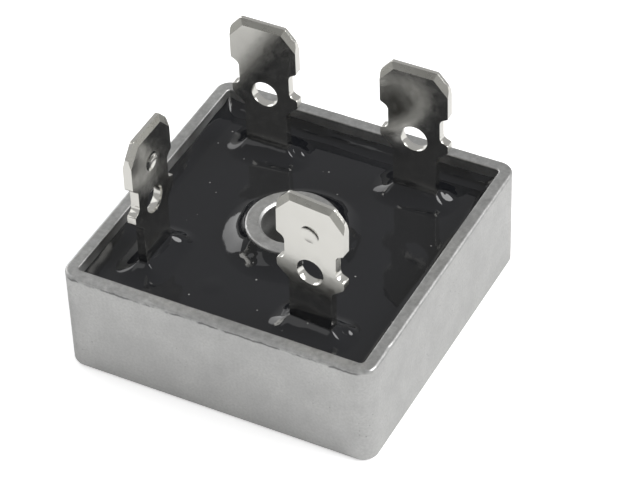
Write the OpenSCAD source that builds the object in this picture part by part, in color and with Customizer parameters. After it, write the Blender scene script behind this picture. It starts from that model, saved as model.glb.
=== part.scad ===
// Single-phase bridge rectifier in a square metal case.
// The case is an open tray with a screw post in its middle. Four stamped
// terminals stand in black epoxy, which seals four diode chips on the floor.
// The flat base lies on z = 0 and the terminals point up.

/* [Case] */
// Outer width of the square case
case_w = 28.6; // [27:0.1:32]
// Height of the case walls
case_h = 10.2; // [9:0.1:13]
// Thickness of the walls
wall = 1.15; // [0.8:0.05:1.6]
// Thickness of the floor
floor_t = 2.4; // [1.5:0.1:3]
// Radius of the upright outer corners
corner_r = 1.4; // [1:0.1:2.5]
// Radius of the inside corners
inner_r = 0.35; // [0.2:0.05:0.8]
// Rounding of the bottom edge
base_edge = 0.5; // [0.2:0.05:0.8]
// Rounding of the outer edge of the rim
rim_edge = 0.15; // [0.1:0.05:0.3]

/* [Screw post] */
// Diameter of the screw hole
screw_d = 5.3; // [4.3:0.1:5.8]
// Outer diameter of the post
post_d = 8; // [7.4:0.1:9]
// How far the top of the post lies below the rim
post_drop = 0.3; // [0:0.1:0.5]
// Bevel at both mouths of the screw hole
screw_bevel = 0.2; // [0.1:0.05:0.4]

/* [Potting] */
// Depth of the flat potting surface below the rim
pot_drop = 2; // [1.8:0.1:2.8]
// Height that the potting climbs at the walls
wall_climb = 0.9; // [0.4:0.1:1.2]
// Width of that climb
wall_reach = 1.6; // [1.2:0.1:1.8]
// Height that the potting climbs at the post
post_climb = 1.4; // [0.6:0.1:1.4]
// Width of that climb
post_reach = 2.2; // [1.5:0.1:2.6]
// Height that the potting climbs at the stems
stem_climb = 1.1; // [0.5:0.1:1.4]
// Width of that climb
stem_reach = 1.7; // [1.4:0.1:1.8]

/* [Terminals] */
// Height of the blade tips above the base
overall_h = 22.1; // [20:0.1:24]
// Thickness of the terminal sheet
blade_t = 0.8; // [0.7:0.05:0.9]
// Width of the blade
blade_w = 6.3; // [6:0.05:6.5]
// Length of the blade from its tip to its shoulder
blade_len = 4.35; // [3.8:0.05:5]
// Width of the flat tip between its cut corners
tip_w = 4.2; // [3.4:0.1:5]
// Height of the cut corners
tip_cut = 1.2; // [0.8:0.1:1.6]
// Thickness left at the coined tip
tip_t = 0.3; // [0.2:0.05:0.5]
// Height of the coined bevel
coin_h = 0.6; // [0.4:0.05:0.9]
// Width of the neck between the side notches
neck_w = 4.8; // [4.4:0.1:5.4]
// Length of the neck between its inside corners
neck_len = 2.2; // [1.6:0.1:2.8]
// Slope of the shoulder, from its outside corner to the neck
shoulder = 0.4; // [0.2:0.05:0.6]
// Slope of the ear, from the neck to its outside corner
ear_slope = 0.25; // [0.1:0.05:0.4]
// Straight height of the ear
ear_len = 0.8; // [0.5:0.1:1.2]
// Height over which the ear narrows to the stem
ear_taper = 1; // [0.6:0.1:1.4]
// Width of the stem
stem_w = 4; // [3.4:0.1:4.4]
// Diameter of the wire hole
wire_d = 2.5; // [1.6:0.1:2.8]
// Depth of the hole's centre below the foot of the neck
wire_below = 0.5; // [0.3:0.05:0.9]
// Diameter of the locking dimple
dimple_d = 1.7; // [1.2:0.1:2]
// Depth of the dimple
dimple_deep = 0.2; // [0.1:0.05:0.25]
// Distance from the tip to the dimple
dimple_down = 3.4; // [2.4:0.1:3.6]
// Inside radius of the bend between the stem and its plate
bend_r = 0.8; // [0.5:0.1:1]

/* [Terminal places] */
// Distance from the inside of the wall to the middle of a stem's sheet
tab_in = 3.85; // [3.4:0.05:4.2]
// Sideways distance from the post's axis to a stem's middle
tab_side = 7.1; // [6.6:0.05:7.6]
// How far the front AC stem is set in from its nominal place
front_shift = 0.5; // [0:0.05:0.6]
// Angle by which the front AC blade is turned out of line
front_turn = 4.5; // [0:0.5:5]
// Angle by which the front AC blade leans sideways
front_lean = 1.5; // [0:0.5:2.5]

/* [Inside] */
// Thickness of the insulating layer on the floor
insul_t = 0.6; // [0.4:0.05:0.9]
// Width of a diode chip
chip_w = 4.2; // [3.4:0.1:4.6]
// Thickness of a diode chip
chip_t = 0.3; // [0.2:0.05:0.4]
// Thickness of a solder joint
solder_t = 0.12; // [0.08:0.01:0.2]
// Width of the solder joint on top of a chip
top_joint_w = 3; // [2.4:0.1:3.2]
// Width of a jumper strap
strap_w = 3.2; // [2.4:0.1:3.6]
// Thickness of a jumper strap
strap_t = 0.5; // [0.3:0.05:0.6]
// Length of a strap's soldered foot
strap_foot = 1.5; // [1.2:0.1:1.9]
// Gap between the end of a strap and the front AC stem
strap_gap = 0.4; // [0.2:0.05:0.6]
// Gap between the plus plate and an AC plate
plate_split = 1.3; // [0.9:0.1:1.6]
// Epoxy between the post and the live plates
post_gap = 1; // [0.8:0.1:1.2]
// Margin of plate round a chip or a strap's foot
chip_margin = 0.2; // [0.1:0.05:0.4]
// Slot beside a stem where it is bent out of its plate
relief = 0.4; // [0.3:0.05:0.6]

/* [Hidden] */
$fn = 64;

// Overlap that makes two joined shapes one solid
lap = 0.2;
// Depth below the flat surface at which the climbing potting runs out
runout = 0.03;
// How far the profile of the climbing potting goes on into what it climbs
into_wall = 0.1;
// Half the width of the cavity
inside = case_w / 2 - wall;
// Distance from the post's axis to the middle of a stem's sheet
tab_out = inside - tab_in;
// Levels, from the floor up
plate_z = floor_t + insul_t;
plate_top = plate_z + blade_t;
chip_z = plate_top + solder_t;
chip_top = chip_z + chip_t;
upper_z = chip_top + solder_t;
pot_top = case_h - pot_drop;
post_top = case_h - post_drop;
// Levels along a terminal, from the tip down
shoulder_z = overall_h - blade_len;
neck_top = shoulder_z - shoulder;
neck_foot = neck_top - neck_len;
ear_top = neck_foot - ear_slope;
ear_foot = ear_top - ear_len;
stem_top = ear_foot - ear_taper;
wire_z = neck_foot - wire_below;
dimple_z = overall_h - dimple_down;
// Where the bend of a stem begins above its plate, and the sideways shift of the
// leaning stem at the potting
bend_top = blade_t + bend_r;
lean_shift = tan(front_lean) * (pot_top - plate_z - bend_top);
// The live plates form a square band round the post, with the chips along its middle
plate_in = post_d / 2 + post_gap;
chip_at = plate_in + chip_margin + chip_w / 2;
plate_out = max(tab_out + blade_t / 2, chip_at + chip_w / 2 + chip_margin);
// A plate that ends past a chip in the middle of a side
mid_end = chip_w / 2 + chip_margin;
// Along the other two sides a strap has to land short of the front AC stem
front_side = tab_side - front_shift;
strap_end = front_side - stem_w / 2 - strap_gap;
strap_land = strap_end - strap_foot;
ac_start = strap_land - chip_margin;
plus_end = ac_start - plate_split;
plus_chip = plus_end - chip_margin - chip_w / 2;
// Chips 1 and 2 lie on the plus plate, 3 and 4 under the minus plate
CHIP_PLACES = [[-chip_at, plus_chip], [plus_chip, -chip_at], [0, chip_at], [chip_at, 0]];

ALUMINIUM = [0.72, 0.72, 0.71];
EPOXY = [0.07, 0.07, 0.08];
TINNED = [0.82, 0.81, 0.78];
COPPER = [0.72, 0.45, 0.3];
SOLDER = [0.6, 0.61, 0.62];
SILICON = [0.3, 0.31, 0.34];
INSULATOR = [0.9, 0.89, 0.85];

// Square with round corners, centred
module round_square(w, r) {
    square([w - 2 * r, w], center = true);
    square([w, w - 2 * r], center = true);
    for (x = [-1, 1], y = [-1, 1])
        translate([x * (w / 2 - r), y * (w / 2 - r)])
            circle(r);
}

// Section of the case block, with its bottom and rim edges rounded
module case_section() {
    middle = case_h / 2;
    translate([-case_w / 2, base_edge])
        square([case_w, case_h - base_edge - rim_edge]);
    translate([-case_w / 2 + base_edge, 0])
        square([case_w - 2 * base_edge, middle]);
    translate([-case_w / 2 + rim_edge, middle])
        square([case_w - 2 * rim_edge, case_h - middle]);
    for (side = [-1, 1]) {
        translate([side * (case_w / 2 - base_edge), base_edge])
            circle(base_edge);
        translate([side * (case_w / 2 - rim_edge), case_h - rim_edge])
            circle(rim_edge);
    }
}

// Case block as two sections that cross, cut to the plan
module case_block() {
    intersection() {
        linear_extrude(case_h)
            round_square(case_w, corner_r);
        for_both_ways()
            case_section();
    }
}

// A section run through the case along X and along Y, where both hold
module for_both_ways() {
    intersection() {
        rotate([90, 0, 0])
            linear_extrude(2 * case_w, center = true)
                children();
        rotate([90, 0, 90])
            linear_extrude(2 * case_w, center = true)
                children();
    }
}

// Everything inside the walls between two levels
module cavity(low, high) {
    translate([0, 0, low])
        linear_extrude(high - low)
            round_square(2 * inside, inner_r);
}

module post(d, low, high) {
    translate([0, 0, low])
        cylinder(d = d, h = high - low);
}

module case_shell() {
    color(ALUMINIUM)
        difference() {
            union() {
                difference() {
                    case_block();
                    cavity(floor_t, case_h + lap);
                }
                post(post_d, floor_t - lap, post_top);
            }
            post(screw_d, -lap, post_top + lap);
            translate([0, 0, -lap])
                cylinder(d1 = screw_d + 2 * (screw_bevel + lap), d2 = screw_d, h = screw_bevel + lap);
            translate([0, 0, post_top - screw_bevel])
                cylinder(d1 = screw_d, d2 = screw_d + 2 * (screw_bevel + lap), h = screw_bevel + lap);
        }
}

module insulating_layer() {
    color(INSULATOR)
        difference() {
            cavity(floor_t, plate_z);
            post(post_d, floor_t - lap, plate_z + lap);
        }
}

// Profile of the potting where it climbs a wall at x = into_wall: a hollow arc that
// runs out under the flat surface, and that goes on into the wall
module climb_profile(reach, climb) {
    rise = climb + runout;
    arc = (reach * reach + rise * rise) / (2 * rise);
    difference() {
        translate([0, -lap])
            square([into_wall + reach, climb + 2 * lap]);
        translate([into_wall + reach, arc - runout])
            circle(arc);
    }
}

// Potting along the inside of one wall
module wall_climb_strip() {
    translate([inside + into_wall, 0, pot_top])
        rotate([90, 0, 0])
            linear_extrude(2 * inside, center = true)
                mirror([1, 0])
                    climb_profile(wall_reach, wall_climb);
}

// Potting that climbs the post from all sides
module post_climb_ring() {
    translate([0, 0, pot_top])
        rotate_extrude()
            translate([post_d / 2 - into_wall, 0])
                climb_profile(post_reach, post_climb);
}

// Potting that climbs a flat stem from all sides, centred on the stem
module stem_climb_collar() {
    core = [stem_w - 2 * into_wall, blade_t - 2 * into_wall];
    translate([-core[0] / 2, -core[1] / 2, -lap])
        cube([core[0], core[1], stem_climb + lap]);
    for (turn = [0:3]) {
        along = core[turn % 2];
        across = core[(turn + 1) % 2];
        rotate(90 * turn)
            translate([along / 2, 0, 0]) {
                rotate([90, 0, 0])
                    linear_extrude(across, center = true)
                        climb_profile(stem_reach, stem_climb);
                translate([0, across / 2, 0])
                    rotate_extrude(angle = 90)
                        climb_profile(stem_reach, stem_climb);
            }
    }
}

module potting_compound() {
    color(EPOXY)
        difference() {
            intersection() {
                union() {
                    cavity(plate_z, pot_top);
                    for (turn = [0:90:270])
                        rotate(turn)
                            wall_climb_strip();
                    post_climb_ring();
                    for (place = [0:3])
                        at_stem(place)
                            translate([place == 3 ? lean_shift : 0, 0, pot_top])
                                stem_climb_collar();
                }
                cavity(plate_z, case_h);
            }
            post(post_d, plate_z - lap, case_h + lap);
            terminal_plus();
            terminal_minus();
            terminal_ac_1();
            terminal_ac_2();
            jumper_ac_1();
            jumper_ac_2();
            solder_jumper_1();
            solder_jumper_2();
            for (i = [0:3]) {
                chip(i);
                joint_below(i);
                joint_above(i);
            }
        }
}

// The four stems stand at: 0 plus, 1 minus, 2 back AC, 3 front AC
module at_stem(place) {
    if (place == 0)
        translate([-tab_out, -tab_side, 0])
            rotate(-90)
                children();
    if (place == 1)
        translate([tab_side, tab_out, 0])
            rotate(180)
                children();
    if (place == 2)
        translate([-tab_side, tab_out, 0])
            rotate(180)
                children();
    if (place == 3)
        translate([front_side, -tab_out, 0])
            rotate(-front_turn)
                children();
}

// Outline of the blade, neck, ears and stem, from the level low up
module terminal_outline(low) {
    right = [
        [tip_w / 2, overall_h],
        [blade_w / 2, overall_h - tip_cut],
        [blade_w / 2, shoulder_z],
        [neck_w / 2, neck_top],
        [neck_w / 2, neck_foot],
        [blade_w / 2, ear_top],
        [blade_w / 2, ear_foot],
        [stem_w / 2, stem_top],
        [stem_w / 2, low]
    ];
    left = [for (i = [len(right) - 1:-1:0]) [-right[i][0], right[i][1]]];
    polygon(concat(right, left));
}

// Cutter for the coined bevel of an edge along X, with the sheet below it
module coin_cut() {
    for (face = [0, 180])
        rotate(face)
            rotate([90, 0, 90])
                linear_extrude(4 * blade_w, center = true)
                    polygon([
                        [tip_t / 2, 0],
                        [blade_t / 2, -coin_h],
                        [blade_t, -coin_h],
                        [blade_t, coin_h],
                        [tip_t / 2, coin_h]
                    ]);
}

module coin_right_corner() {
    cut_angle = atan2(tip_cut, (blade_w - tip_w) / 2);
    translate([tip_w / 2, 0, overall_h])
        rotate([0, cut_angle, 0])
            coin_cut();
}

module coined_edges() {
    translate([0, 0, overall_h])
        coin_cut();
    coin_right_corner();
    mirror([1, 0, 0])
        coin_right_corner();
}

// Ball whose cap is pressed into the face that looks along -Y
module dimple() {
    ball = (pow(dimple_d / 2, 2) + pow(dimple_deep, 2)) / (2 * dimple_deep);
    translate([0, -blade_t / 2 + dimple_deep - ball, dimple_z])
        sphere(ball);
}

// Upright part of a terminal: a sheet in the XZ plane, from the level low up
module upright(low, dimple_turn) {
    difference() {
        rotate([90, 0, 0])
            linear_extrude(blade_t, center = true)
                terminal_outline(low);
        coined_edges();
        translate([0, 0, wire_z])
            rotate([90, 0, 0])
                cylinder(d = wire_d, h = 2 * blade_t, center = true);
        rotate(dimple_turn)
            dimple();
    }
}

// Bend from the stem into the plate: a short tongue along +Y, the round bend, and a
// short upright end
module bend(plate_level) {
    translate([-stem_w / 2, blade_t / 2 + bend_r, plate_level])
        cube([stem_w, relief, blade_t]);
    translate([0, blade_t / 2 + bend_r, plate_level + bend_top])
        rotate([-90, 0, 0])
            rotate([0, 90, 0])
                rotate_extrude(angle = 90)
                    translate([bend_r, -stem_w / 2])
                        square([blade_t, stem_w]);
    translate([-stem_w / 2, -blade_t / 2, plate_level + bend_top])
        cube([stem_w, blade_t, lap]);
}

// Stem, blade and bend. The stem leans from just above the bend
module stamping(plate_level, dimple_turn, lean = 0) {
    low = plate_level + bend_top + lap / 2;
    translate([0, 0, low])
        rotate([0, lean, 0])
            translate([0, 0, -low])
                upright(low, dimple_turn);
    bend(plate_level);
}

// Where a stem is bent up, its plate is cut back past the bend and open to the corner
module stem_slot(place) {
    half = stem_w / 2 + relief;
    from = place == 1 ? -plate_out : -half;
    at_stem(place)
        translate([from, -plate_out])
            square([half + plate_out, plate_out + blade_t / 2 + bend_r + relief / 2]);
}

// Flat plate of the children's plan, with the slot of the stem at a place
module plate(level, place) {
    translate([0, 0, level])
        linear_extrude(blade_t)
            difference() {
                children();
                stem_slot(place);
            }
}

// Stretch of the plate band on the side that looks along +X
module arm(from, to) {
    translate([plate_in, from])
        square([plate_out - plate_in, to - from]);
}

module terminal_plus() {
    color(TINNED) {
        at_stem(0)
            stamping(plate_z, 180);
        plate(plate_z, 0) {
            rotate(180)
                arm(-plus_end, plate_out);
            rotate(-90)
                arm(-plate_out, plus_end);
        }
    }
}

module terminal_minus() {
    color(TINNED) {
        at_stem(1)
            stamping(upper_z, 0);
        plate(upper_z, 1) {
            arm(-mid_end, plate_out);
            rotate(90)
                arm(-plate_out, mid_end);
        }
    }
}

module terminal_ac_1() {
    color(TINNED) {
        at_stem(2)
            stamping(plate_z, 0);
        plate(plate_z, 2) {
            rotate(90)
                arm(-mid_end, plate_out);
            rotate(180)
                arm(-plate_out, -ac_start);
        }
    }
}

module terminal_ac_2() {
    color(TINNED) {
        at_stem(3)
            stamping(plate_z, 0, front_lean);
        plate(plate_z, 3) {
            arm(-plate_out, mid_end);
            rotate(-90)
                arm(ac_start, plate_out);
        }
    }
}

// Square layer centred on a chip
module layer(w, low, t) {
    translate([-w / 2, -w / 2, low])
        cube([w, w, t]);
}

module chip(i) {
    color(SILICON)
        translate(CHIP_PLACES[i])
            layer(chip_w, chip_z, chip_t);
}

module joint_below(i) {
    color(SOLDER)
        translate(CHIP_PLACES[i])
            layer(chip_w, plate_top, solder_t);
}

module joint_above(i) {
    color(SOLDER)
        translate(CHIP_PLACES[i])
            layer(top_joint_w, chip_top, solder_t);
}

// Section extruded across the strap that lies over chip 1 and runs along +Y
module along_strap() {
    translate([-chip_at, 0, 0])
        rotate([90, 0, 90])
            linear_extrude(strap_w, center = true)
                children();
}

// Strap from chip 1 to the plate of the back AC terminal
module strap() {
    start = plus_chip - top_joint_w / 2;
    color(COPPER)
        along_strap()
            polygon([
                [start, upper_z],
                [plus_end, upper_z],
                [ac_start, chip_z],
                [strap_end, chip_z],
                [strap_end, chip_z + strap_t],
                [ac_start, chip_z + strap_t],
                [plus_end, upper_z + strap_t],
                [start, upper_z + strap_t]
            ]);
}

module strap_joint() {
    color(SOLDER)
        along_strap()
            polygon([
                [strap_land, plate_top],
                [strap_end, plate_top],
                [strap_end, chip_z],
                [strap_land, chip_z]
            ]);
}

module jumper_ac_1() {
    strap();
}

module jumper_ac_2() {
    mirror([1, -1, 0])
        strap();
}

module solder_jumper_1() {
    strap_joint();
}

module solder_jumper_2() {
    mirror([1, -1, 0])
        strap_joint();
}

case_shell();
potting_compound();
insulating_layer();
terminal_plus();
terminal_minus();
terminal_ac_1();
terminal_ac_2();
chip(0);  // diode_chip_1
chip(1);  // diode_chip_2
chip(2);  // diode_chip_3
chip(3);  // diode_chip_4
joint_below(0);  // solder_below_chip_1
joint_below(1);  // solder_below_chip_2
joint_below(2);  // solder_below_chip_3
joint_below(3);  // solder_below_chip_4
joint_above(0);  // solder_above_chip_1
joint_above(1);  // solder_above_chip_2
joint_above(2);  // solder_above_chip_3
joint_above(3);  // solder_above_chip_4
jumper_ac_1();
jumper_ac_2();
solder_jumper_1();
solder_jumper_2();
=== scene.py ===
"""Looks of a square bridge rectifier: metal tray, black potting and four tinned blades."""

import math

import bmesh
import bpy
from mathutils import Matrix, Quaternion, Vector, noise


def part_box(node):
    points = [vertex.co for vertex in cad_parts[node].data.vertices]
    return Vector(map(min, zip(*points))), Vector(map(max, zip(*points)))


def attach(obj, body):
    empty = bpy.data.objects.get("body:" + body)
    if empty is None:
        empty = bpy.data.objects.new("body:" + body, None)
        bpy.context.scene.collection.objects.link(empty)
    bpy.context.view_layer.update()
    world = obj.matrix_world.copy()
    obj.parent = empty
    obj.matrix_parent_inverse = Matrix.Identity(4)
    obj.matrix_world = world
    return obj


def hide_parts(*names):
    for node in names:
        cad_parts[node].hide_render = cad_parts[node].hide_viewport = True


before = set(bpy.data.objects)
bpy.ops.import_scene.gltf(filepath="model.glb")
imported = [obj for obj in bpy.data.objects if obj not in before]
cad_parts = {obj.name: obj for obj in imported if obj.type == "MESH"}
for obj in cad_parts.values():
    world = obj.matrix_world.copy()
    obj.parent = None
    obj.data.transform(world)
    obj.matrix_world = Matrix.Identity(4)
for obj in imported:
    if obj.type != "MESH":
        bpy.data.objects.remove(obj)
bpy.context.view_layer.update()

MM = 0.001
UP = Vector((0, 0, 1))

# ---------------------------------------------------------------- sizes

case_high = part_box("case_shell")[1]
pot_low, pot_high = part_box("potting_compound")
CASE_HALF = case_high.x
CASE_H = case_high.z
CAVITY_HALF = pot_high.x
FLOOR_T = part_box("insulating_layer")[0].z
CORNER_R = 1.4 * MM
POST_R = 4.0 * MM
POST_TOP = CASE_H - 0.3 * MM
SCREW_R = 2.65 * MM
SCREW_BEVEL = 0.2 * MM
POT_TOP = CASE_H - 2.0 * MM
TIP_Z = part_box("terminal_minus")[1].z
BLADE_T = 0.8 * MM
STEM_W = 4.0 * MM
TIP_BAND = 0.1 * MM

# The front blade stands out of line and leans, from a level just above its bend
BEND_TOP = 1.7 * MM
PIVOT_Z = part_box("insulating_layer")[1].z + BEND_TOP
FRONT_TURN = math.radians(-4.5)
FRONT_LEAN = math.radians(1.5)

# Each blade: its CAD node, its name, its turn about Z, its lean and which face has the dimple
BLADES = [
    ("terminal_plus", "blade_plus", math.radians(-90), 0.0, 1),
    ("terminal_minus", "blade_minus", math.radians(180), 0.0, -1),
    ("terminal_ac_1", "blade_ac_1", math.radians(180), 0.0, -1),
    ("terminal_ac_2", "blade_ac_2", FRONT_TURN, FRONT_LEAN, -1),
]


# ---------------------------------------------------------------- mesh helpers

def verts_in(geom):
    return [g for g in geom if isinstance(g, bmesh.types.BMVert)]


def edges_in(geom):
    return [g for g in geom if isinstance(g, bmesh.types.BMEdge)]


def draw_out(bm, edges):
    """Extrudes a loop of edges, and returns the new points and the new loop."""
    grown = bmesh.ops.extrude_edge_only(bm, edges=edges)["geom"]
    fresh = set(verts_in(grown))
    return fresh, [e for e in edges_in(grown) if e.verts[0] in fresh and e.verts[1] in fresh]


def divide(bm, point, normal):
    """Cuts the faces along a plane and keeps both sides."""
    bmesh.ops.bisect_plane(bm, geom=bm.faces[:] + bm.edges[:] + bm.verts[:],
                           plane_co=point, plane_no=normal)


def cut_off(bm, point, normal, on_plane=0.0):
    """Removes what lies past a plane and closes the cut. Points this near count as on the plane."""
    cut = bmesh.ops.bisect_plane(bm, geom=bm.faces[:] + bm.edges[:] + bm.verts[:], dist=on_plane,
                                 plane_co=point, plane_no=normal, clear_outer=True)
    bmesh.ops.contextual_create(bm, geom=edges_in(cut["geom_cut"]))


def sharpen(bm, degrees):
    """Smooth shading, with creases where faces meet at more than this angle."""
    for face in bm.faces:
        face.smooth = True
    for edge in bm.edges:
        edge.smooth = edge.calc_face_angle(math.pi) < math.radians(degrees)


def new_piece(bm, name, node, mat, crease):
    """Makes the piece that stands for a CAD node, with creases sharper than this many degrees."""
    bmesh.ops.recalc_face_normals(bm, faces=bm.faces[:])
    sharpen(bm, crease)
    mesh = bpy.data.meshes.new(name)
    bm.to_mesh(mesh)
    bm.free()
    mesh.materials.append(mat)
    piece = bpy.data.objects.new(name, mesh)
    bpy.context.scene.collection.objects.link(piece)
    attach(piece, "root")
    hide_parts(node)
    return piece


# ---------------------------------------------------------------- material helpers

class Shader:
    """A Principled material with short ways to add noise, ramps and bumps in Object coordinates."""

    def __init__(self, name, base, metallic, roughness):
        self.mat = bpy.data.materials.new(name)
        self.mat.use_nodes = True
        self.tree = self.mat.node_tree
        self.bsdf = self.tree.nodes["Principled BSDF"]
        self.bsdf.inputs["Base Color"].default_value = (*base, 1)
        self.bsdf.inputs["Metallic"].default_value = metallic
        self.bsdf.inputs["Roughness"].default_value = roughness
        self.place = self.add("ShaderNodeTexCoord").outputs["Object"]
        split = self.add("ShaderNodeSeparateXYZ")
        self.join(self.place, split.inputs["Vector"])
        self.along_y, self.height = split.outputs["Y"], split.outputs["Z"]

    def add(self, kind):
        return self.tree.nodes.new(kind)

    def join(self, out, into):
        self.tree.links.new(out, into)

    def noise(self, size, detail=3.0, rough=0.5):
        """Noise with features of about this size in metres, from 0 to 1."""
        node = self.add("ShaderNodeTexNoise")
        node.inputs["Scale"].default_value = 1 / size
        node.inputs["Detail"].default_value = detail
        node.inputs["Roughness"].default_value = rough
        self.join(self.place, node.inputs["Vector"])
        return node.outputs["Fac"]

    def cells(self, size):
        """Distance to the nearest of scattered points, about this far apart in metres."""
        node = self.add("ShaderNodeTexVoronoi")
        node.inputs["Scale"].default_value = 1 / size
        self.join(self.place, node.inputs["Vector"])
        return node.outputs["Distance"]

    def range(self, value, low, high, to_low, to_high):
        """The value with low to high stretched to other limits, and held within them."""
        node = self.add("ShaderNodeMapRange")
        self.join(value, node.inputs["Value"])
        for name, number in (("From Min", low), ("From Max", high), ("To Min", to_low), ("To Max", to_high)):
            node.inputs[name].default_value = number
        return node.outputs["Result"]

    def math(self, operation, a, b):
        node = self.add("ShaderNodeMath")
        node.operation = operation
        for socket, value in zip(node.inputs, (a, b)):
            if isinstance(value, (int, float)):
                socket.default_value = value
            else:
                self.join(value, socket)
        return node.outputs["Value"]

    def blend(self, factor, low, high):
        """Colour between two, each a colour or an output."""
        node = self.add("ShaderNodeMix")
        node.data_type = "RGBA"
        self.join(factor, node.inputs["Factor"])
        for socket, value in ((node.inputs[6], low), (node.inputs[7], high)):
            if isinstance(value, tuple):
                socket.default_value = (*value, 1)
            else:
                self.join(value, socket)
        return node.outputs[2]

    def colour(self, out):
        self.join(out, self.bsdf.inputs["Base Color"])

    def roughness(self, out):
        self.join(out, self.bsdf.inputs["Roughness"])

    def bump(self, height, depth, strength):
        """Adds relief of this depth in metres on top of the relief already there."""
        node = self.add("ShaderNodeBump")
        node.inputs["Strength"].default_value = strength
        node.inputs["Distance"].default_value = depth
        self.join(height, node.inputs["Height"])
        if self.bsdf.inputs["Normal"].is_linked:
            self.join(self.bsdf.inputs["Normal"].links[0].from_socket, node.inputs["Normal"])
        self.join(node.outputs["Normal"], self.bsdf.inputs["Normal"])


# ---------------------------------------------------------------- materials

# Levels at which the duller metal of the rim begins and is full
DULL_FROM = CASE_H - 0.42 * MM
DULL_FULL = CASE_H - 0.31 * MM

# Painted shade line under the front rim: its level, how it wavers, and how it fades off its line and behind
# the face
SHADE_LINE_Z = CASE_H - 0.1 * MM
SHADE_LINE_WAVER = 0.5 * MM
SHADE_LINE_FADE = (0.04 * MM, 0.15 * MM)
SHADE_LINE_BEHIND = (-CASE_HALF + 0.02 * MM, -CASE_HALF + 0.3 * MM)


def aluminium():
    pale, mid, shade = (0.6, 0.6, 0.59), (0.52, 0.52, 0.515), (0.4, 0.4, 0.395)
    # The darkest colour is for the dark pits and for the painted shade line of the front wall
    dull, pit_and_shade_black = (0.37, 0.37, 0.365), (0.12, 0.12, 0.12)
    s = Shader("die_formed_aluminium", (0.56, 0.56, 0.55), 1.0, 0.45)
    clouds = s.range(s.noise(3.5 * MM, 4), 0.3, 0.7, 0, 1)
    grain = s.range(s.noise(0.22 * MM, 2), 0.35, 0.65, 0, 1)
    tone = s.blend(clouds, mid, pale)
    tone = s.blend(s.math("MULTIPLY", grain, 0.35), tone, shade)

    # The rim and the top of the post are duller and blotched
    top = s.range(s.height, DULL_FROM, DULL_FULL, 0, 1)
    blotches = s.range(s.noise(0.5 * MM, 4, 0.6), 0.32, 0.68, 0.2, 1)
    tone = s.blend(s.math("MULTIPLY", top, blotches), tone, dull)

    # Painted shade: a dark, broken line under the rim of the front wall
    waver = s.math("MULTIPLY", s.noise(1.1 * MM, 3), SHADE_LINE_WAVER)
    off_line = s.math("ABSOLUTE", s.math("SUBTRACT", s.math("ADD", s.height, waver), SHADE_LINE_Z), 0)
    line = s.range(off_line, *SHADE_LINE_FADE, 1, 0)
    broken = s.range(s.noise(1.7 * MM, 4), 0.38, 0.5, 0, 1)
    front = s.range(s.along_y, *SHADE_LINE_BEHIND, 1, 0)
    painted_shade_line = s.math("MULTIPLY", s.math("MULTIPLY", line, broken), front)

    # Clusters of dark pits
    pits = s.range(s.cells(0.42 * MM), 0.1, 0.2, 1, 0)
    clusters = s.range(s.noise(3.2 * MM, 3), 0.57, 0.66, 0, 1)
    # Dark pits together with the painted shade line, in one mask
    pits_and_painted_shade = s.math("MAXIMUM", s.math("MULTIPLY", s.math("MULTIPLY", pits, clusters), 0.6), painted_shade_line)
    s.colour(s.blend(s.math("MULTIPLY", pits_and_painted_shade, 0.8), tone, pit_and_shade_black))
    s.roughness(s.range(s.noise(1.2 * MM, 4), 0.3, 0.7, 0.4, 0.54))
    s.bump(s.noise(0.35 * MM, 4, 0.6), 0.02 * MM, 0.5)
    s.bump(s.range(s.cells(0.55 * MM), 0.0, 0.22, 0, 1), 0.015 * MM, 0.5)
    return s.mat


def epoxy():
    """Black with scattered specks of dust."""
    black, speck = (0.008, 0.0085, 0.0105), (0.34, 0.34, 0.33)
    s = Shader("glossy_potting_epoxy", black, 0.0, 0.04)
    s.bsdf.inputs["IOR"].default_value = 1.5
    dust = s.range(s.cells(1.3 * MM), 0.03, 0.08, 1, 0)
    some = s.range(s.noise(4 * MM, 2), 0.47, 0.55, 0, 1)
    s.colour(s.blend(s.math("MULTIPLY", dust, some), black, speck))
    s.roughness(s.range(s.noise(3 * MM, 3), 0.35, 0.7, 0.02, 0.11))
    s.bump(s.noise(2.6 * MM, 2), 0.04 * MM, 0.5)
    return s.mat


def tin(name, low, high, least, most):
    """Plating with a colour between low and high, and a roughness between least and most."""
    s = Shader(name, high, 1.0, most)
    s.colour(s.blend(s.noise(1.6 * MM, 3), low, high))
    s.roughness(s.range(s.noise(0.8 * MM, 4), 0.3, 0.7, least, most))
    s.bump(s.noise(0.5 * MM, 3), 0.006 * MM, 0.6)
    return s.mat


def speckled(name, low, high, metallic, roughness, size):
    """Plain inner material with a fine variation of tone."""
    s = Shader(name, low, metallic, roughness)
    s.colour(s.blend(s.noise(size, 3), low, high))
    s.roughness(s.range(s.noise(size, 3), 0.3, 0.7, roughness * 0.85, roughness * 1.15))
    s.bump(s.noise(size / 2, 3), 0.004 * MM, 0.5)
    return s.mat


ALUMINIUM = aluminium()
EPOXY = epoxy()
TIN = tin("bright_tin_plating", (0.69, 0.68, 0.64), (0.77, 0.76, 0.72), 0.11, 0.2)
COINED_TIN = tin("coined_tin_plating", (0.3, 0.295, 0.27), (0.42, 0.415, 0.385), 0.22, 0.36)


# ---------------------------------------------------------------- case

CASE_TURNS = 840
BASE_EDGE = 0.5 * MM
RIM_OUTER_EDGE = 0.24 * MM
RIM_INNER_EDGE = 0.14 * MM
POST_EDGE = 0.18 * MM
INNER_R = 0.35 * MM
WALL_ROWS = 14
POST_ROW = 2 * MM

# Rows across the flat of the rim, as shares of its width
RIM_SHARES = (0.08, 0.3, 0.5, 0.7, 0.92)

# Rows down the inside of the wall, in millimetres below the rim
INNER_WALL_ROWS = (0.3, 0.7, 1.1, 1.5, 2.2, 3.2)

# Distance from a rounded edge of the row that keeps the face beside it flat
BESIDE = 0.04 * MM

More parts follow.
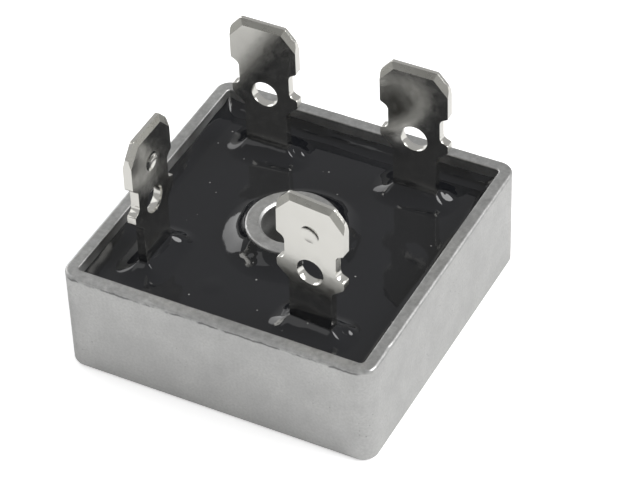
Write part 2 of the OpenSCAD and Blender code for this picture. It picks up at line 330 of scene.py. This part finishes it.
# Points further out than this are on the walls
ON_WALL = CAVITY_HALF - 0.1 * MM

# The walls' rim is uneven down to this depth, by about this much
RIM_UNEVEN = 0.6 * MM
RIM_DROP = 0.05 * MM

# Its long and short waves: how many to a metre, and their share
RIM_LONG, RIM_SHORT = (220, 0.5), (900, 0.35)
SHORT_SHIFT = Vector((7, 3, 1))

# Knocks in the metal: middle, reach and depth
DENTS = [
    (Vector((13.6, -14.3, 9.9)) * MM, 0.9 * MM, 0.16 * MM),
    (Vector((11.2, -14.2, 10.2)) * MM, 0.6 * MM, 0.10 * MM),
    (Vector((13.2, -14.3, 1.2)) * MM, 1.1 * MM, 0.10 * MM),
    (Vector((14.3, -10.6, 10.1)) * MM, 0.7 * MM, 0.08 * MM),
    (Vector((4.1, -14.3, 10.2)) * MM, 0.8 * MM, 0.06 * MM),
    (Vector((-6.4, -14.2, 10.2)) * MM, 0.7 * MM, 0.05 * MM),
]


def square_radius(angle, half, corner):
    """Distance from the middle to the outline of a square with round corners."""
    c, s = abs(math.cos(angle)), abs(math.sin(angle))
    reach = half / max(c, s)
    if reach * min(c, s) <= half - corner:
        return reach
    along = (half - corner) * (c + s)
    return along + math.sqrt(max(corner ** 2 - 2 * (half - corner) ** 2 + along ** 2, 0))


def quarter(radius, steps):
    """Points of a quarter turn: how far out and how far up, from flat to upright."""
    turns = [math.pi / 2 * k / steps for k in range(steps + 1)]
    return [(radius * math.sin(t), radius * (1 - math.cos(t))) for t in turns]


def outline_stations():
    """Stations of the case's section: half width, corner radius (None if round) and height."""
    at = []
    base = CASE_HALF - BASE_EDGE
    at.append((base - 2 * BESIDE, CORNER_R - BASE_EDGE, 0))
    for out, up in quarter(BASE_EDGE, steps=6):
        at.append((base + out, CORNER_R - BASE_EDGE + out, up))
    low, high = BASE_EDGE + BESIDE, CASE_H - RIM_OUTER_EDGE - BESIDE
    for k in range(WALL_ROWS + 1):
        at.append((CASE_HALF, CORNER_R, low + (high - low) * k / WALL_ROWS))
    for out, up in reversed(quarter(RIM_OUTER_EDGE, steps=5)):
        half = CASE_HALF - RIM_OUTER_EDGE + out
        at.append((half, CORNER_R - RIM_OUTER_EDGE + out, CASE_H - up))
    outer, inner = CASE_HALF - RIM_OUTER_EDGE, CAVITY_HALF + RIM_INNER_EDGE
    for share in RIM_SHARES:
        corner = (CORNER_R - RIM_OUTER_EDGE) * (1 - share) + (INNER_R + RIM_INNER_EDGE) * share
        at.append((outer + (inner - outer) * share, corner, CASE_H))
    for out, up in quarter(RIM_INNER_EDGE, steps=4):
        at.append((inner - out, INNER_R + RIM_INNER_EDGE - out, CASE_H - up))
    for depth in INNER_WALL_ROWS:
        at.append((CAVITY_HALF, INNER_R, CASE_H - depth * MM))
    at.append((CAVITY_HALF, INNER_R, FLOOR_T))
    for height in (FLOOR_T, POST_TOP - POST_ROW, POST_TOP - POST_EDGE - BESIDE):
        at.append((POST_R, None, height))
    for out, up in reversed(quarter(POST_EDGE, steps=4)):
        at.append((POST_R - POST_EDGE + out, None, POST_TOP - up))
    mouth = SCREW_R + SCREW_BEVEL
    at += [(POST_R - POST_EDGE - BESIDE, None, POST_TOP), (mouth + BESIDE, None, POST_TOP)]
    at += [(mouth, None, POST_TOP), (SCREW_R, None, POST_TOP - SCREW_BEVEL)]
    at += [(SCREW_R, None, SCREW_BEVEL), (mouth, None, 0)]
    return at


def worn(point):
    """The place of a point of the metal after its knocks and its uneven rim."""
    wave = noise.noise(point * RIM_LONG[0]) * RIM_LONG[1]
    wave += noise.noise(point * RIM_SHORT[0] + SHORT_SHIFT) * RIM_SHORT[1]
    outside = max(abs(point.x), abs(point.y)) > ON_WALL
    moved = point.copy()
    if outside and point.z > CASE_H - RIM_UNEVEN:
        share = min((point.z - CASE_H + RIM_UNEVEN) / RIM_UNEVEN, 1)
        moved.z -= share * RIM_DROP * (0.5 + wave)
    for centre, reach, depth in DENTS:
        gap = (point - centre).length / reach
        if gap < 1:
            inward = Vector((-point.x, -point.y, -0.5 * CASE_HALF)).normalized()
            moved += inward * depth * (1 - gap * gap) ** 2
    return moved


def make_case():
    """Wraps a grid round the axis and along the section until its ends meet."""
    stations = outline_stations()
    count = len(stations)
    bm = bmesh.new()
    bmesh.ops.create_grid(bm, x_segments=CASE_TURNS, y_segments=count, size=1.0)
    for v in bm.verts:
        angle = math.pi * v.co.x
        half, corner, height = stations[round((v.co.y + 1) / 2 * count) % count]
        radius = half if corner is None else square_radius(angle, half, corner)
        v.co = worn(Vector((radius * math.cos(angle), radius * math.sin(angle), height)))
    bmesh.ops.remove_doubles(bm, verts=bm.verts[:], dist=0.0002 * MM)
    new_piece(bm, "tray", "case_shell", ALUMINIUM, 40)


# ---------------------------------------------------------------- potting

POT_TURNS = 640
POT_RINGS = 96

# How far and how high the epoxy climbs the walls, the post and the stems
WALL_REACH, WALL_CLIMB = 1.5 * MM, 0.85 * MM
POST_REACH, POST_CLIMB = 2.5 * MM, 1.35 * MM
STEM_REACH, STEM_CLIMB = 2.5 * MM, 0.95 * MM

# In a corner the climb of the second wall adds this much of its own
CORNER_CLIMB, CORNER_SHARE = 0.8 * MM, 0.6

# Long and short waves along the climbs: how many to a metre, and their share
CLIMB_LONG, CLIMB_SHORT = (240, 0.2), (600, 0.04)

# The arcs end this far below the flat epoxy, and the climbs stay this far below the rim
RUNOUT = 0.03 * MM
RIM_CLEAR = 0.6 * MM

# Low bumps where the epoxy was poured: place, reach and height in millimetres
BUMPS = [
    (-4.3, 9.9, 0.9, 0.2), (9.8, 10.1, 0.9, 0.2), (9.6, -8.5, 0.8, 0.2), (-8.5, -4.4, 0.9, 0.2),
    (-3.2, -8.3, 1.3, 0.05), (2.4, 4.8, 1.5, 0.05), (-5.2, 1.6, 1.6, 0.05), (5.9, -3.4, 1.2, 0.05),
]


def hollow_arc(distance, reach, climb):
    """Height of a meniscus at this distance from what it climbs."""
    if distance >= reach:
        return 0.0
    rise = climb + RUNOUT
    arc = (reach * reach + rise * rise) / (2 * rise)
    inside = arc * arc - (reach - max(distance, 0.0)) ** 2
    return max(arc - RUNOUT - math.sqrt(max(inside, 0.0)), 0.0)


def tip_centre(node):
    """Middle of the blade's top edge on the CAD node."""
    points = [v.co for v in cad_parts[node].data.vertices if v.co.z > TIP_Z - TIP_BAND]
    low = Vector([min(p[i] for p in points) for i in range(3)])
    high = Vector([max(p[i] for p in points) for i in range(3)])
    return (low + high) / 2


def stem_foot(node, turn, lean):
    """Middle of the stem at the level from which it leans."""
    tip = tip_centre(node)
    side = Matrix.Rotation(turn, 3, "Z") @ Vector((1, 0, 0))
    return tip - side * (math.sin(lean) * (TIP_Z - PIVOT_Z))


def stem_frames():
    """The place and turn of each stem where it leaves the potting."""
    frames = []
    for node, _, turn, lean, _ in BLADES:
        side = Matrix.Rotation(turn, 3, "Z") @ Vector((1, 0, 0))
        frames.append((stem_foot(node, turn, lean) + side * (math.tan(lean) * (POT_TOP - PIVOT_Z)), turn))
    return frames


def potting_height(x, y, stems):
    """Level of the epoxy at a point: flat, with its climbs and bumps added."""
    place = Vector((x, y, 0))
    uneven = 1 + CLIMB_LONG[1] * noise.noise(place * CLIMB_LONG[0])
    uneven += CLIMB_SHORT[1] * noise.noise(place * CLIMB_SHORT[0])
    wall_gap = CAVITY_HALF - max(abs(x), abs(y))
    other_gap = CAVITY_HALF - min(abs(x), abs(y))
    rise = hollow_arc(wall_gap, WALL_REACH * uneven, WALL_CLIMB * uneven)
    rise += hollow_arc(other_gap, WALL_REACH, CORNER_CLIMB) * CORNER_SHARE
    rise += hollow_arc(math.hypot(x, y) - POST_R, POST_REACH * uneven, POST_CLIMB)
    for centre, turn in stems:
        dx, dy = x - centre.x, y - centre.y
        along = dx * math.cos(turn) + dy * math.sin(turn)
        across = -dx * math.sin(turn) + dy * math.cos(turn)
        gap = math.hypot(max(abs(along) - STEM_W / 2, 0), max(abs(across) - BLADE_T / 2, 0))
        rise += hollow_arc(gap, STEM_REACH * uneven, STEM_CLIMB)
    for bump_x, bump_y, reach, height in BUMPS:
        gap = math.hypot(x - bump_x * MM, y - bump_y * MM) / (reach * MM)
        if gap < 1:
            rise += height * MM * (1 - gap * gap) ** 2
    return min(POT_TOP + rise, CASE_H - RIM_CLEAR)


def make_potting():
    """Wraps a grid round the post out to the walls, then draws its rims down and closes it below."""
    stems = stem_frames()
    bm = bmesh.new()
    bmesh.ops.create_grid(bm, x_segments=POT_TURNS, y_segments=POT_RINGS, size=1.0)
    for v in bm.verts:
        angle = math.pi * v.co.x
        c, s = math.cos(angle), math.sin(angle)
        share = (v.co.y + 1) / 2
        edge = CAVITY_HALF / max(abs(c), abs(s))
        radius = POST_R + (edge - POST_R) * share
        v.co = Vector((radius * c, radius * s, 0))
        v.co.z = potting_height(v.co.x, v.co.y, stems)
    bmesh.ops.remove_doubles(bm, verts=bm.verts[:], dist=0.002 * MM)
    fresh, under = draw_out(bm, [e for e in bm.edges if e.is_boundary])
    for v in fresh:
        v.co.z = pot_low.z
    bmesh.ops.triangle_fill(bm, use_beauty=True, edges=under, normal=-UP)
    new_piece(bm, "potting", "potting_compound", EPOXY, 50)


# ---------------------------------------------------------------- blades

BLADE_W = 6.3 * MM
SHOULDER_Z = TIP_Z - 4.35 * MM
NECK_TOP = SHOULDER_Z - 0.4 * MM
NECK_FOOT = NECK_TOP - 2.2 * MM
EAR_TOP = NECK_FOOT - 0.25 * MM
EAR_FOOT = EAR_TOP - 0.8 * MM
STEM_TOP = EAR_FOOT - 1.0 * MM
NECK_W = 4.8 * MM
TIP_W = 4.2 * MM
TIP_CUT = 1.2 * MM
TIP_T = 0.3 * MM
COIN_H = 0.6 * MM
HOLE_Z = NECK_FOOT - 0.5 * MM
HOLE_R = 1.25 * MM
DIMPLE_Z = TIP_Z - 3.4 * MM
DIMPLE_R = 0.85 * MM
DIMPLE_DEEP = 0.2 * MM
SHEET_EDGE = 0.05 * MM
SHARP_TURN = math.radians(28)

# The blade's stem ends below the epoxy, and the CAD stem goes on this far past that cut
STEM_CUT = POT_TOP - 1.2 * MM
STEM_LAP = 0.1 * MM

# Half width of the strip that holds the wire hole and the dimple, and half heights of their patches
STRIP_HALF = 1.75 * MM
HOLE_HALF = 1.7 * MM
DIMPLE_HALF = 1.3 * MM
OPENING_CUTS = 11
OPENING_INSET = 0.1 * MM

# Rings of the dimple, as shares of its radius
DIMPLE_RINGS = (0.9, 0.75, 0.6, 0.4, 0.2)

# A face is flat sheet if it is this large or this square on, and coined if it is large and slanted
FLAT_AREA = 0.25 * MM ** 2
SQUARE_ON = 0.9995
COINED_FROM = TIP_Z - 2.2 * MM
COINED_AREA = 0.2 * MM ** 2
COINED_SLANT = (0.8, 0.97)

# Right half of the outline: place, and the radius of its corner in millimetres
HALF_OUTLINE = [
    (TIP_W / 2, TIP_Z, 0.15), (BLADE_W / 2, TIP_Z - TIP_CUT, 0.3), (BLADE_W / 2, SHOULDER_Z, 0.12),
    (NECK_W / 2, NECK_TOP, 0.35), (NECK_W / 2, NECK_FOOT, 0.35), (BLADE_W / 2, EAR_TOP, 0.12),
    (BLADE_W / 2, EAR_FOOT, 0.15), (STEM_W / 2, STEM_TOP, 0.3), (STEM_W / 2, STEM_CUT, 0),
]


def face_at(bm, x, y, z):
    """The face whose middle is nearest to a point."""
    point = Vector((x, y, z))
    return min(bm.faces, key=lambda f: (f.calc_center_median() - point).length)


def round_opening(bm, patch, centre, radius):
    """Turns a rectangular face into a ring round a circle, and returns the circle's edges."""
    sides = patch.edges[:]
    bmesh.ops.delete(bm, geom=[patch], context="FACES_ONLY")
    cut = bmesh.ops.subdivide_edges(bm, edges=sides, cuts=OPENING_CUTS)
    border = list(dict.fromkeys(edges_in(cut["geom_inner"]) + edges_in(cut["geom_split"])))
    face = bmesh.ops.contextual_create(bm, geom=border)["faces"][0]
    bmesh.ops.inset_individual(bm, faces=[face], thickness=OPENING_INSET)
    for v in face.verts:
        spoke = Vector((v.co.x - centre[0], 0, v.co.z - centre[2])).normalized() * radius
        v.co = Vector((centre[0] + spoke.x, centre[1], centre[2] + spoke.z))
    circle = face.edges[:]
    bmesh.ops.delete(bm, geom=[face], context="FACES_ONLY")
    return circle


def blade_bmesh(dimple_side):
    """Blade and stem in the XZ plane: outline, openings, thickness, dimple, coined tip and edges."""
    bm = bmesh.new()
    right = [bm.verts.new((x, -BLADE_T / 2, z)) for x, z, _ in HALF_OUTLINE]
    left = [bm.verts.new((-x, -BLADE_T / 2, z)) for x, z, _ in reversed(HALF_OUTLINE)]
    bm.faces.new(right + left)
    radii = [r for _, _, r in HALF_OUTLINE]
    corners = list(zip(right + left, radii + radii[::-1]))
    for corner, radius in corners:
        if radius:
            bmesh.ops.bevel(bm, geom=[corner], offset=radius * MM, affect="VERTICES",
                            segments=4, profile=0.5, material=-1)
    for x in (-STRIP_HALF, STRIP_HALF):
        divide(bm, (x, 0, 0), (1, 0, 0))
    for z in (HOLE_Z - HOLE_HALF, HOLE_Z + HOLE_HALF, DIMPLE_Z - DIMPLE_HALF, DIMPLE_Z + DIMPLE_HALF):
        divide(bm, (0, 0, z), UP)
    round_opening(bm, face_at(bm, 0, -BLADE_T / 2, HOLE_Z), (0, -BLADE_T / 2, HOLE_Z), HOLE_R)

    grown = bmesh.ops.extrude_face_region(bm, geom=bm.faces[:], use_keep_orig=True)["geom"]
    bmesh.ops.translate(bm, vec=(0, BLADE_T, 0), verts=verts_in(grown))

    side_y = dimple_side * BLADE_T / 2
    circle = round_opening(bm, face_at(bm, 0, side_y, DIMPLE_Z), (0, side_y, DIMPLE_Z), DIMPLE_R)
    press_dimple(bm, circle, side_y, dimple_side)
    coin_tip(bm)
    bmesh.ops.recalc_face_normals(bm, faces=bm.faces[:])
    edges = [e for e in bm.edges if e.calc_face_angle(0) > SHARP_TURN]
    bmesh.ops.bevel(bm, geom=edges, offset=SHEET_EDGE, affect="EDGES", segments=3, profile=0.5,
                    material=-1, clamp_overlap=True)
    return bm


def press_dimple(bm, circle, side_y, dimple_side):
    """Rings of a ball's cap, from the rim of the dimple to its middle."""
    ball = (DIMPLE_R ** 2 + DIMPLE_DEEP ** 2) / (2 * DIMPLE_DEEP)
    loop = circle
    for share in DIMPLE_RINGS:
        fresh, loop = draw_out(bm, loop)
        radius = DIMPLE_R * share
        depth = math.sqrt(ball ** 2 - radius ** 2) - (ball - DIMPLE_DEEP)
        for v in fresh:
            spoke = Vector((v.co.x, 0, v.co.z - DIMPLE_Z)).normalized() * radius
            v.co = Vector((spoke.x, side_y - dimple_side * depth, DIMPLE_Z + spoke.z))
    bmesh.ops.contextual_create(bm, geom=loop)


def coin_tip(bm):
    """Cuts the bevels of the tip and of its cut corners on both faces."""
    slant = math.atan2(TIP_CUT, (BLADE_W - TIP_W) / 2)
    pitch = math.atan2((BLADE_T - TIP_T) / 2, COIN_H)
    for face in (-1, 1):
        for tilt, x in ((0, 0), (slant, TIP_W / 2), (-slant, -TIP_W / 2)):
            normal = Matrix.Rotation(tilt, 3, "Y") @ Vector((0, face * math.cos(pitch), math.sin(pitch)))
            cut_off(bm, (x, face * TIP_T / 2, TIP_Z), normal, on_plane=1e-8)


def buried_part(node):
    """What the CAD node has up to just past the blade's cut: its plate, its bend and a bit of stem."""
    bm = bmesh.new()
    bm.from_mesh(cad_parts[node].data)
    bmesh.ops.remove_doubles(bm, verts=bm.verts[:], dist=0.0005 * MM)
    cut_off(bm, (0, 0, STEM_CUT + STEM_LAP), UP)
    return bm


def make_blade(node, name, turn, lean, dimple_side):
    """Stands the blade in its place, adds the buried part, and gives the coined faces their finish."""
    bm = blade_bmesh(dimple_side)
    foot = stem_foot(node, turn, lean)
    stand = (Matrix.Translation((foot.x, foot.y, 0)) @ Matrix.Rotation(turn, 4, "Z")
             @ Matrix.Translation((0, 0, PIVOT_Z)) @ Matrix.Rotation(lean, 4, "Y")
             @ Matrix.Translation((0, 0, -PIVOT_Z)))
    bmesh.ops.transform(bm, matrix=stand, verts=bm.verts[:])
    buried = buried_part(node)
    below = bpy.data.meshes.new(name + "_foot")
    buried.to_mesh(below)
    buried.free()
    bm.from_mesh(below)
    bpy.data.meshes.remove(below)
    piece = new_piece(bm, name, node, TIN, 40)
    piece.data.materials.append(COINED_TIN)
    across = Matrix.Rotation(turn, 3, "Z") @ Vector((0, 1, 0))
    for face in piece.data.polygons:
        square_on = abs(face.normal.dot(across))
        if face.area > FLAT_AREA or square_on > SQUARE_ON:
            face.use_smooth = False
        slanted = COINED_SLANT[0] < square_on < COINED_SLANT[1]
        if face.center.z > COINED_FROM and face.area > COINED_AREA and slanted:
            face.material_index = 1


# ---------------------------------------------------------------- inner nodes

# Material of the inner CAD nodes, by the start of their names
INNER = {
    "insulating_layer": speckled("filled_insulator", (0.8, 0.79, 0.74), (0.9, 0.89, 0.84), 0, 0.6, 0.4 * MM),
    "diode_chip": speckled("metallised_silicon", (0.24, 0.25, 0.28), (0.34, 0.35, 0.38), 1, 0.3, 0.5 * MM),
    "solder": speckled("soft_solder", (0.52, 0.53, 0.54), (0.66, 0.67, 0.68), 1, 0.35, 0.3 * MM),
    "jumper": speckled("bare_copper", (0.72, 0.4, 0.27), (0.8, 0.5, 0.36), 1, 0.3, 0.6 * MM),
}


def dress_inner_nodes():
    for name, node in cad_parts.items():
        for start, mat in INNER.items():
            if name.startswith(start):
                node.data.materials.clear()
                node.data.materials.append(mat)


# ---------------------------------------------------------------- stage

FLOOR_HALF = 3.0
FLOOR_DROP = 0.02 * MM
FLOOR_LIFT = 0.5
WORLD_STRENGTH = 0.46
LAMP_AIM = 8 * MM

# Camera: turn, height and roll in degrees, what it looks at, how far away in millimetres, and its lens
CAMERA_TURNS = (28.44, 41.45, -2.17)
CAMERA_AIM = Vector((2.08, 0.93, 7.80)) * MM
CAMERA_DISTANCE = 245.27
CAMERA_LENS = 163.39
CAMERA_SENSOR = 36


def make_floor():
    """Pale plane just under the base, which the camera sees as near white."""
    bm = bmesh.new()
    bmesh.ops.create_grid(bm, x_segments=1, y_segments=1, size=FLOOR_HALF,
                          matrix=Matrix.Translation((0, 0, -FLOOR_DROP)))
    mesh = bpy.data.meshes.new("floor")
    bm.to_mesh(mesh)
    bm.free()
    mat = bpy.data.materials.new("pale_floor")
    mat.use_nodes = True
    nodes, links = mat.node_tree.nodes, mat.node_tree.links
    shader = nodes["Principled BSDF"]
    shader.inputs["Base Color"].default_value = (0.9, 0.9, 0.9, 1)
    shader.inputs["Roughness"].default_value = 0.9
    shader.inputs["Emission Color"].default_value = (1, 1, 1, 1)
    path = nodes.new("ShaderNodeLightPath")
    lift = nodes.new("ShaderNodeMath")
    lift.operation = "MULTIPLY"
    lift.inputs[1].default_value = FLOOR_LIFT
    links.new(path.outputs["Is Camera Ray"], lift.inputs[0])
    links.new(lift.outputs[0], shader.inputs["Emission Strength"])
    mesh.materials.append(mat)
    floor = bpy.data.objects.new("floor", mesh)
    bpy.context.scene.collection.objects.link(floor)


def make_world():
    world = bpy.data.worlds.new("studio")
    bpy.context.scene.world = world
    world.use_nodes = True
    back = world.node_tree.nodes["Background"]
    back.inputs["Color"].default_value = (1, 1, 1, 1)
    back.inputs["Strength"].default_value = WORLD_STRENGTH


def direction(azimuth, elevation):
    """Unit vector towards a lamp or the camera, with azimuth 0 at the front."""
    return Vector((math.sin(azimuth) * math.cos(elevation),
                   -math.cos(azimuth) * math.cos(elevation), math.sin(elevation)))


def softbox(name, azimuth, elevation, distance, size, power):
    """Square area lamp that looks at the middle of the object."""
    out = direction(math.radians(azimuth), math.radians(elevation))
    data = bpy.data.lights.new(name, "AREA")
    data.shape = "SQUARE"
    data.size = size
    data.energy = power
    lamp = bpy.data.objects.new(name, data)
    lamp.location = out * distance + UP * LAMP_AIM
    lamp.rotation_mode = "QUATERNION"
    lamp.rotation_quaternion = (-out).to_track_quat("-Z", "Y")
    bpy.context.scene.collection.objects.link(lamp)


def make_camera():
    azimuth, elevation, roll = (math.radians(turn) for turn in CAMERA_TURNS)
    back = direction(azimuth, elevation)
    data = bpy.data.cameras.new("camera")
    data.lens = CAMERA_LENS
    data.sensor_width = CAMERA_SENSOR
    data.clip_start = 0.01
    data.clip_end = 20
    camera = bpy.data.objects.new("camera", data)
    camera.location = CAMERA_AIM + back * CAMERA_DISTANCE * MM
    camera.rotation_mode = "QUATERNION"
    camera.rotation_quaternion = Quaternion(back, roll) @ (-back).to_track_quat("-Z", "Y")
    bpy.context.scene.collection.objects.link(camera)
    bpy.context.scene.camera = camera


make_case()
make_potting()
for blade in BLADES:
    make_blade(*blade)
dress_inner_nodes()
make_floor()
make_world()
softbox("key", azimuth=106, elevation=38, distance=0.7, size=0.45, power=4.3)
softbox("fill", azimuth=-60, elevation=40, distance=0.8, size=0.5, power=0.6)
softbox("back", azimuth=-112, elevation=21, distance=0.75, size=0.5, power=1.8)
make_camera()
bpy.context.scene.view_settings.view_transform = "Standard"
